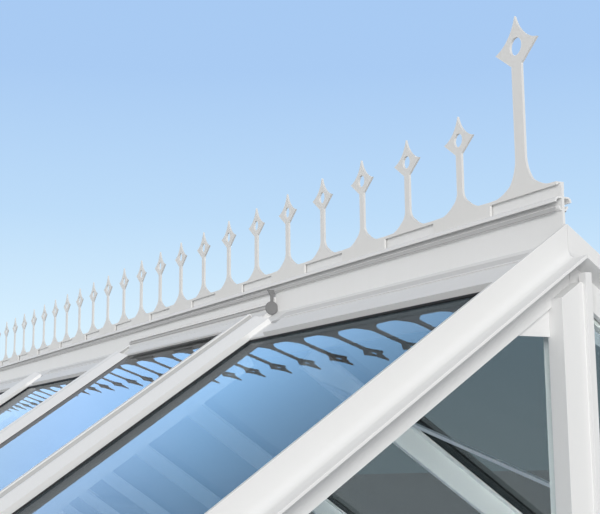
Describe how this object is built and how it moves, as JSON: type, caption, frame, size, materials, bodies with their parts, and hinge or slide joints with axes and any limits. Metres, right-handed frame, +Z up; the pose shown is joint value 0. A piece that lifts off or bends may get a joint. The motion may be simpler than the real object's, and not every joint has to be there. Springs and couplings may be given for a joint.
{
  "type": "greenhouse roof",
  "caption": "White pitched glass greenhouse roof: ridge beam with a star cresting and end finials, glazing bars, panes, roof vents, glazed gables and eaves gutters.",
  "frame": {"origin": "middle of the roof's plan, on the plane of the gutters' and sills' undersides", "axes": "+X along the ridge towards the near gable, +Y towards the back slope, +Z up"},
  "size_m": [4.577, 3.126, 1.4394],
  "materials": {
    "white_frame": "satin white powder coat",
    "white_casting": "satin white powder coat on castings",
    "glass": "clear float glass",
    "bare_metal": "mill finish"
  },
  "bodies": {
    "root": {"barge_bar_far_left": "white_frame", "barge_bar_far_right": "white_frame", "barge_bar_near_left": "white_frame", "barge_bar_near_right": "white_frame", "brace_back_1": "bare_metal", "brace_back_2": "bare_metal", "brace_front_1": "bare_metal", "brace_front_2": "bare_metal", "cresting_far": "white_casting", "cresting_near": "white_casting", "finial_far": "white_casting", "finial_near": "white_casting", "gable_pane_far_left": "glass", "gable_pane_far_right": "glass", "gable_pane_near_left": "glass", "gable_pane_near_right": "glass", "gable_post_far": "white_frame", "gable_post_near": "white_frame", "gable_sill_far": "white_frame", "gable_sill_near": "white_frame", "glazing_bar_back_1": "white_frame", "glazing_bar_back_2": "white_frame", "glazing_bar_back_3": "white_frame", "glazing_bar_back_4": "white_frame", "glazing_bar_back_5": "white_frame", "glazing_bar_front_1": "white_frame", "glazing_bar_front_2": "white_frame", "glazing_bar_front_3": "white_frame", "glazing_bar_front_4": "white_frame", "glazing_bar_front_5": "white_frame", "gusset_far": "white_frame", "gusset_near": "white_frame", "gutter_back": "white_frame", "gutter_front": "white_frame", "ridge_beam": "white_frame", "roof_pane_back_1": "glass", "roof_pane_back_2": "glass", "roof_pane_back_3": "glass", "roof_pane_back_4": "glass", "roof_pane_back_5": "glass", "roof_pane_back_6": "glass", "roof_pane_front_1": "glass", "roof_pane_front_2": "glass", "roof_pane_front_3": "glass", "roof_pane_front_4": "glass", "roof_pane_front_5": "glass", "roof_pane_front_6": "glass", "vent_frame_back": "white_frame", "vent_frame_front": "white_frame", "vent_pane_back": "glass", "vent_pane_front": "glass"}
  },
  "joints": []
}
